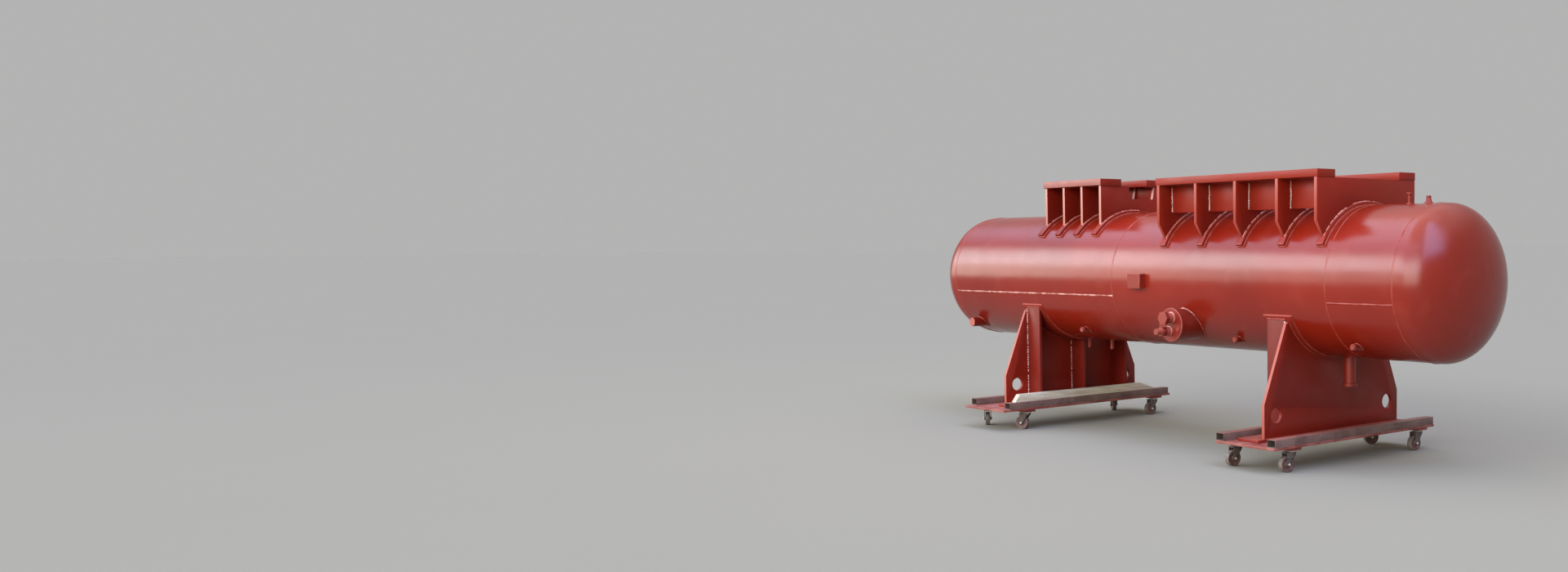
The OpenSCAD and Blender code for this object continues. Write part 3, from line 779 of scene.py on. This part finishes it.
for side in ("left", "right"):
    plated(side + "_deck", deck_mat, DECK_EDGE)
    lo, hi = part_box(side + "_tubes")
    mid_z = (lo.z + hi.z) / 2
    walls = levels(side + "_tubes", 0)
    width = spans(walls, 0.10)
    tubes = join([square_tube(Vector((a, lo.y, lo.z)), Vector((b, hi.y, hi.z)), walls[1] - walls[0])
                  for a, b in width])
    tubes.name = side + "_tubes_piece"
    soften(tubes, PLATE_EDGE)
    dress(tubes, tube_mat, VESSEL, (side + "_tubes",))

    def inside(at, n, width=width, mid_z=mid_z):
        a, b = next(w for w in width if w[0] - 0.01 < at.x < w[1] + 0.01)
        return (at.x - (a + b) / 2) * n.x < -0.01 or (at.z - mid_z) * n.z < -0.01

    # the inner walls of the tubes get a painted shade
    second_finish(tubes, tube_shade, inside)
    feet = []
    for a, b in width:
        for x in (a, b):
            feet += stitches((x, lo.y + 0.02, lo.z), (x, hi.y - 0.02, lo.z),
                             TUBE_DASH, TUBE_GAP, NEVER)
    bead(side + "_tube_welds", feet, TUBE_BEAD, tube_mat)
    plates = plated(side + "_caster_plates", zinc_mat, FINE_EDGE)
    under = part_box(side + "_deck")[0].z
    second_finish(plates, deck_mat, lambda at, n: at.z > under - TOP_PLATE)
plated("timber_batten", timber_mat, THIN_EDGE)

# fittings

PLUG_LENGTH, PLUG_SHARE, PLUG_SINK = 0.011, 0.82, 0.001
SOCKET_BEAD, HEATER_TOP_BEAD, HEATER_LOW_BEAD = 0.006, 0.0085, 0.0078
ROOT_BEADS = (("side_couplings", 0.006), ("oil_nozzle", 0.007), ("drain_nozzle", 0.007),
              ("under_couplings", 0.005), ("top_vents", 0.006))

for part in ("heater_nozzle", "heater_cover", "heater_plugs", "side_couplings", "oil_nozzle",
             "drain_nozzle", "under_couplings", "top_vents", "nameplate_bracket"):
    made = plated(part, fitting_red, RAIL_EDGE, 1)
    # paler bevels on these: a painted highlight
    if part in ("heater_plugs", "heater_cover", "nameplate_bracket"):
        pale_bevels(made, worn_and_highlit, PALE_BEVEL)


def hexagon_plug(name, at, out, across, length):
    """A six-sided plug head with its edges broken, from the point along out."""
    deselect()
    bpy.ops.mesh.primitive_cylinder_add(vertices=6, radius=across / math.sqrt(3), depth=length)
    obj = active()
    obj.name = name
    out = Vector(out)
    turn = out.to_track_quat("Z", "Y").to_matrix().to_4x4()
    obj.matrix_world = Matrix.Translation(at + out * length / 2) @ turn
    settle()
    edit_all()
    bpy.ops.mesh.bevel(offset=across * 0.07, segments=1)
    edit("OBJECT")
    soften(obj, 0.0)
    dress(obj, plug_red)
    # The plug's bevels get the pale primer: a painted highlight.
    pale_bevels(obj, pale_highlight, across * 0.12)


# the ends of the bars on the front, paler where their paint is thin, and the plugs in them
FRONT = Vector((0, -1, 0))
number = 0
for part in ("side_couplings", "oil_nozzle"):
    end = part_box(part)[0].y
    faced = bpy.data.objects[part + "_piece"]
    second_finish(faced, worn_and_highlit, lambda at, n: n.y < -0.9)
    for lo, hi in spans([co.x for co in corners(part)], 0.2):
        mine = [co for co in corners(part) if within(co.x, lo, hi) and co.y < end + NEAR]
        mid = sum(mine, Vector()) / len(mine)
        wide = 2 * max((co - mid).length for co in mine)
        if part == "side_couplings":
            number += 1
            hexagon_plug(f"coupling_plug_{number}", Vector((mid.x, end + PLUG_SINK, mid.z)), FRONT,
                         wide * PLUG_SHARE, PLUG_LENGTH)
second_finish(bpy.data.objects["heater_plugs_piece"], plug_red, lambda at, n: n.y < -0.9)

# welds of the sockets on the cover, a pale arc on their upper right: a painted highlight on thinly
# covered welds
cover_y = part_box("heater_cover")[0].y
rooted = [co for co in corners("heater_plugs") if abs(co.y - cover_y) < NEAR]
split_x = max(co.x for co in rooted) - 0.035
sockets = []
for lo, hi in spans([co.z for co in rooted if co.x < split_x], 0.012):
    mine = [co for co in rooted if co.x < split_x and within(co.z, lo, hi)]
    mid, r = sum(mine, Vector()) / len(mine), (hi - lo) / 2
    turns = [math.radians(d) for d in range(-60, 151, 6)]
    ring = [mid + Vector((math.sin(a), 0, math.cos(a))) * (r + 0.001) for a in turns]
    sockets.append((ring, False))
bead("socket_welds", sockets, SOCKET_BEAD, pink_weld, pitch=0.007, ripple=0.12)

# the flared foot of the plain vent: a cone drawn in at its waist
vents = spans([co.x for co in corners("top_vents")], 0.03)
plain_x = (vents[-1][0] + vents[-1][1]) / 2
plain_r = (vents[-1][1] - vents[-1][0]) / 2
TOP_Z = AXIS_Z + R
WAIST_Z, WAIST_SHARE = TOP_Z + 0.011, 0.72
deselect()
bpy.ops.mesh.primitive_cone_add(vertices=48, radius1=plain_r * 2.3, radius2=plain_r * 1.02,
                                depth=0.034, location=(plain_x, 0, TOP_Z + 0.015))
foot = active()
foot.name = "vent_foot"
settle()
edit_all()
bpy.ops.mesh.bisect(plane_co=(plain_x, 0, WAIST_Z), plane_no=(0, 0, 1))
edit("OBJECT")
for v in foot.data.vertices:
    if abs(v.co.z - WAIST_Z) < NEAR:
        v.co.x = plain_x + (v.co.x - plain_x) * WAIST_SHARE
        v.co.y *= WAIST_SHARE
soften(foot, FINE_EDGE)
dress(foot, fitting_red)

for part, size in ROOT_BEADS:
    bead(part + "_welds", root_rings(part), size, weld_mat, ripple=0.1)

# the heater nozzle's root weld, paler in its upper part: a painted highlight
ring = root_rings("heater_nozzle")[0][0]
low_end = min(range(len(ring)), key=lambda i: ring[i].z)
ring = ring[low_end:] + ring[:low_end]
split_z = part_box("heater_cover")[1].z - 0.06
upper_run = [co for co in ring if co.z > split_z]
first, last = ring.index(upper_run[0]), ring.index(upper_run[-1])
lower_run = ring[last:] + ring[:first + 1]
bead("heater_root_weld", [(upper_run, False)], HEATER_TOP_BEAD, pink_weld,
     ripple=0.08)
bead("heater_lower_weld", [(lower_run, False)], HEATER_LOW_BEAD, weld_mat,
     ripple=0.1)

# casters

TREAD_DEPTH = 0.012
BOLT_R, BOLT_LENGTH, BOLT_SINK = 0.0085, 0.007, 0.001

for joint in frame["record"]["behaviour"]["joints"]:
    if not joint["name"].startswith("axle_"):
        continue
    number = joint["name"].split("_")[1]
    fork, wheel = "fork_" + number, "wheel_" + number
    plated(fork, fork_mat, FINE_EDGE, body=fork)
    disc = plated(wheel, core_mat, WHEEL_EDGE, 3, body=wheel)
    hub, axis = Vector(joint["pos_m"]), Vector(joint["axis"]).normalized()
    rim = max(((co - hub) - axis * (co - hub).dot(axis)).length for co in corners(wheel))

    def on_tread(at, n, hub=hub, axis=axis, rim=rim):
        flat = (at - hub) - axis * (at - hub).dot(axis)
        return flat.length > rim - TREAD_DEPTH

    second_finish(disc, tread_mat, on_tread)
    out = max(abs((co - hub).dot(axis)) for co in corners(fork))
    bolts = []
    for s in (-1, 1):
        deselect()
        bpy.ops.mesh.primitive_cylinder_add(vertices=6, radius=BOLT_R, depth=BOLT_LENGTH,
                                            location=hub + axis * s * (out - BOLT_SINK),
                                            rotation=axis.to_track_quat("Z", "Y").to_euler())
        bolts.append(active())
    heads = join(bolts)
    settle()
    heads.name = "axle_bolts_" + number
    soften(heads, FINE_EDGE)
    dress(heads, zinc_mat, fork)


# floor, light and camera

ROOM_LIGHT = (0.16, 0.135, 0.11)
CEILING_LIGHT = (0.80, 0.79, 0.76)
FRONT_LIGHT = (6.1, 6.8, 7.1)
LOW_LIGHT = (2.05, 1.95, 1.7)
TOP_LIGHT = (0.85, 1.3, 2.0)
SKYLIGHT = (2.0, 2.7, 5.0)
BACKDROP = (0.452, 0.452, 0.450, 1)
FLOOR_SIZE = 900
FLOOR_SEEN = (0.318, 0.288, 0.238, 1), (0.326, 0.296, 0.246, 1)
FLOOR_BOUNCE = (0.29, 0.24, 0.18, 1)
LAMP_SIZE, LAMP_POWER, LAMP_AT = (9, 6), 90, (0.0, -1.0, 8.0)

# the camera fitted to the photo, in its pixels, metres and radians
PHOTO_W, PHOTO_H = 1920, 700
SENSOR = 36.0
FOCAL = 1647.98
CENTRE_X, CENTRE_Y = 1443.76, 443.03
EYE = (7.4242, -6.8188, 1.4459)
LOOK_DOWN, HEADING, ROLL = 0.0871, 0.8332, -0.0086


def seen_directly(tree):
    """1 for what the camera, a mirror or glass sees, 0 for light that bounces."""
    path = tree.nodes.new("ShaderNodeLightPath")
    total = path.outputs["Is Camera Ray"]
    for name in ("Is Glossy Ray", "Is Transmission Ray"):
        larger = tree.nodes.new("ShaderNodeMath")
        larger.operation = "MAXIMUM"
        tree.links.new(total, larger.inputs[0])
        tree.links.new(path.outputs[name], larger.inputs[1])
        total = larger.outputs[0]
    return total


def pale_floor():
    deselect()
    bpy.ops.mesh.primitive_plane_add(size=FLOOR_SIZE, location=(0, 0, 0))
    floor = active()
    floor.name = "floor"
    g = Graph("pale_floor")
    pale = g.mix(g.noise(0.35, 3.0), *FLOOR_SEEN)
    floor.data.materials.append(g.done(g.mix(seen_directly(g.tree), FLOOR_BOUNCE, pale), 0.9))
    g.bsdf.inputs["Specular IOR Level"].default_value = 0.0


def room_light():
    """A world with zones of light, by the turn from the front and the rise above the floor."""
    world = bpy.data.worlds.new("studio")
    bpy.context.scene.world = world
    world.use_nodes = True
    tree = world.node_tree

    def maths(kind, *values):
        node = tree.nodes.new("ShaderNodeMath")
        node.operation = kind
        for socket, value in zip(node.inputs, values):
            if hasattr(value, "links"):
                tree.links.new(value, socket)
            else:
                socket.default_value = value
        return node.outputs[0]

    def band(value, low, high, soft):
        """1 between two angles in degrees, fading out over the soft margin."""
        sides = []
        for edge, way in ((low, 1), (high, -1)):
            node = tree.nodes.new("ShaderNodeMapRange")
            node.interpolation_type = "SMOOTHSTEP"
            node.inputs["From Min"].default_value = math.radians(edge - way * soft)
            node.inputs["From Max"].default_value = math.radians(edge + way * soft)
            tree.links.new(value, node.inputs["Value"])
            sides.append(node.outputs["Result"])
        return maths("MULTIPLY", *sides)

    def zone(turns, rises):
        return maths("MULTIPLY", band(turn, *turns), band(rise, *rises))

    def glow(area, tint):
        node = tree.nodes.new("ShaderNodeVectorMath")
        node.operation = "SCALE"
        node.inputs[0].default_value = tint
        tree.links.new(area, node.inputs["Scale"])
        return node.outputs[0]

    def plus(one, other):
        node = tree.nodes.new("ShaderNodeVectorMath")
        node.operation = "ADD"
        tree.links.new(one, node.inputs[0])
        tree.links.new(other, node.inputs[1])
        return node.outputs[0]

    split = tree.nodes.new("ShaderNodeSeparateXYZ")
    tree.links.new(tree.nodes.new("ShaderNodeTexCoord").outputs["Generated"], split.inputs[0])
    x, y, z = split.outputs
    turn = maths("ARCTAN2", maths("MULTIPLY", x, -1.0), maths("MULTIPLY", y, -1.0))
    rise = maths("ARCSINE", z)
    low = zone((-46, 74, 9), (-8, 15, 5))
    path = tree.nodes.new("ShaderNodeLightPath").outputs
    mirrored = maths("MAXIMUM", path["Is Glossy Ray"], path["Is Transmission Ray"])
    glows = [glow(band(rise, -100, 120, 5), ROOM_LIGHT),
             glow(band(rise, 42, 120, 14), CEILING_LIGHT),
             glow(zone((-46, 68, 9), (14, 30, 4)), FRONT_LIGHT),
             glow(low, LOW_LIGHT),
             # twice as bright at both ends of the low zone
             glow(maths("SUBTRACT", low, maths("MULTIPLY", low, band(turn, 8, 51, 5))), LOW_LIGHT),
             glow(zone((-40, 104, 12), (33, 56, 6)), TOP_LIGHT),
             glow(zone((-100, -52, 6), (29, 95, 6)), SKYLIGHT),
             # reflections show the backdrop in place of the room
             glow(mirrored, [b - r for b, r in zip(BACKDROP, ROOM_LIGHT)])]
    total = glows[0]
    for other in glows[1:]:
        total = plus(total, other)
    back = tree.nodes["Background"]
    tree.links.new(total, back.inputs["Color"])
    back.inputs["Strength"].default_value = 1.0
    shown = tree.nodes.new("ShaderNodeBackground")
    shown.inputs["Color"].default_value = BACKDROP
    mixer = tree.nodes.new("ShaderNodeMixShader")
    tree.links.new(path["Is Camera Ray"], mixer.inputs[0])
    tree.links.new(back.outputs[0], mixer.inputs[1])
    tree.links.new(shown.outputs[0], mixer.inputs[2])
    tree.links.new(mixer.outputs[0], tree.nodes["World Output"].inputs["Surface"])


def overhead_lamp():
    data = bpy.data.lights.new("overhead", "AREA")
    data.shape = "RECTANGLE"
    data.size, data.size_y = LAMP_SIZE
    data.energy = LAMP_POWER
    add("overhead", data).location = LAMP_AT


def photo_camera():
    data = bpy.data.cameras.new("photo_camera")
    data.sensor_width = SENSOR
    data.sensor_fit = "HORIZONTAL"
    data.lens = FOCAL * SENSOR / PHOTO_W
    data.shift_x = (PHOTO_W / 2 - CENTRE_X) / PHOTO_W
    data.shift_y = (CENTRE_Y - PHOTO_H / 2) / PHOTO_W
    data.clip_end = 2000
    cam = add("photo_camera", data)
    cam.location = EYE
    level = Euler((math.pi / 2 - LOOK_DOWN, 0.0, HEADING), "XYZ").to_matrix()
    cam.rotation_euler = (level @ Matrix.Rotation(ROLL, 3, "Z")).to_euler()
    bpy.context.scene.camera = cam


pale_floor()
room_light()
overhead_lamp()
photo_camera()
bpy.context.scene.view_settings.view_transform = "Standard"
